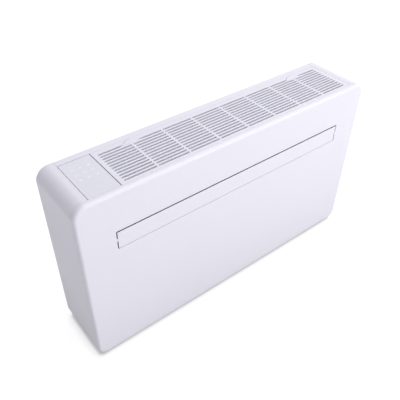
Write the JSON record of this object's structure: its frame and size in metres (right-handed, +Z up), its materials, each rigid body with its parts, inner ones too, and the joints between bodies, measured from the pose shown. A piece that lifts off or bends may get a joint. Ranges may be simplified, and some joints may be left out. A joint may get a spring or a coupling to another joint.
{
  "type": "floor standing air conditioner",
  "caption": "Slim white monobloc air conditioner with a top intake grille, a touch panel, a pivoting front outlet flap and rear duct ports.",
  "frame": {"origin": "middle of the footprint, on the floor under the feet", "axes": "+X to the right along the width as seen from the front, +Y from the front panel to the wall, +Z up"},
  "size_m": [1.03, 0.2, 0.588],
  "materials": {
    "white_plastic": "fine satin moulded",
    "touch_glass": "smooth satin glass",
    "galvanised_steel": "galvanised sheet",
    "foam": "moulded expanded foam",
    "grey_plastic": "matt moulded",
    "dark_plastic": "matt moulded",
    "rubber": "matt",
    "aluminium": "mill finish fins",
    "copper": "drawn copper tube",
    "black_paint": "semi-gloss paint",
    "filter_net": "fine woven net",
    "circuit_board": "lacquered board"
  },
  "bodies": {
    "cabinet": {"front_panel": "white_plastic", "side_panel_left": "white_plastic", "side_panel_right": "white_plastic", "top_rear_rail": "white_plastic", "back_plate": "galvanised_steel", "base_pan": "galvanised_steel", "foot_front_left": "rubber", "foot_front_right": "rubber", "foot_rear_left": "rubber", "foot_rear_right": "rubber", "touch_panel": "touch_glass", "control_tray": "dark_plastic", "control_board": "circuit_board", "intake_plenum": "grey_plastic", "evaporator": "aluminium", "drip_tray": "foam", "blower_housing": "foam", "blower_bearing": "rubber", "blower_motor": "dark_plastic", "flap_motor": "grey_plastic", "chamber_front": "galvanised_steel", "chamber_deck": "galvanised_steel", "compressor_bulkhead": "galvanised_steel", "intake_collar": "grey_plastic", "exhaust_shroud": "grey_plastic", "outdoor_fan_motor": "dark_plastic", "condenser": "aluminium", "compressor": "black_paint", "compressor_grommet_1": "rubber", "compressor_grommet_2": "rubber", "compressor_grommet_3": "rubber", "accumulator": "black_paint", "discharge_pipe": "copper", "suction_pipe": "copper", "liquid_pipe": "copper", "electronics_box": "galvanised_steel", "electronics_lid": "galvanised_steel", "main_board": "circuit_board", "heat_sink": "aluminium", "control_bracket": "galvanised_steel", "drain_outlet": "grey_plastic", "power_inlet": "dark_plastic"},
    "flap": {"outlet_flap": "white_plastic"},
    "blower": {"blower_rotor": "grey_plastic"},
    "outdoor_fan": {"outdoor_fan": "dark_plastic"},
    "filter_cassette": {"intake_grille": "white_plastic", "filter_frame": "white_plastic", "filter_net": "filter_net"}
  },
  "joints": [
    {"name": "flap_tilt", "type": "hinge", "parent": "cabinet", "child": "flap", "pos_m": [0, -0.0915, 0.4359], "axis": [1, 0, 0], "range_deg": [0, 75]},
    {"name": "blower_spin", "type": "hinge", "parent": "cabinet", "child": "blower", "pos_m": [0, 0.002, 0.427], "axis": [1, 0, 0], "continuous": true},
    {"name": "outdoor_fan_spin", "type": "hinge", "parent": "cabinet", "child": "outdoor_fan", "pos_m": [0.1465, 0.07, 0.203], "axis": [0, 1, 0], "continuous": true},
    {"name": "cassette_lift", "type": "slide", "parent": "cabinet", "child": "filter_cassette", "axis": [0, 0, 1], "range_m": [0, 0.12]}
  ]
}
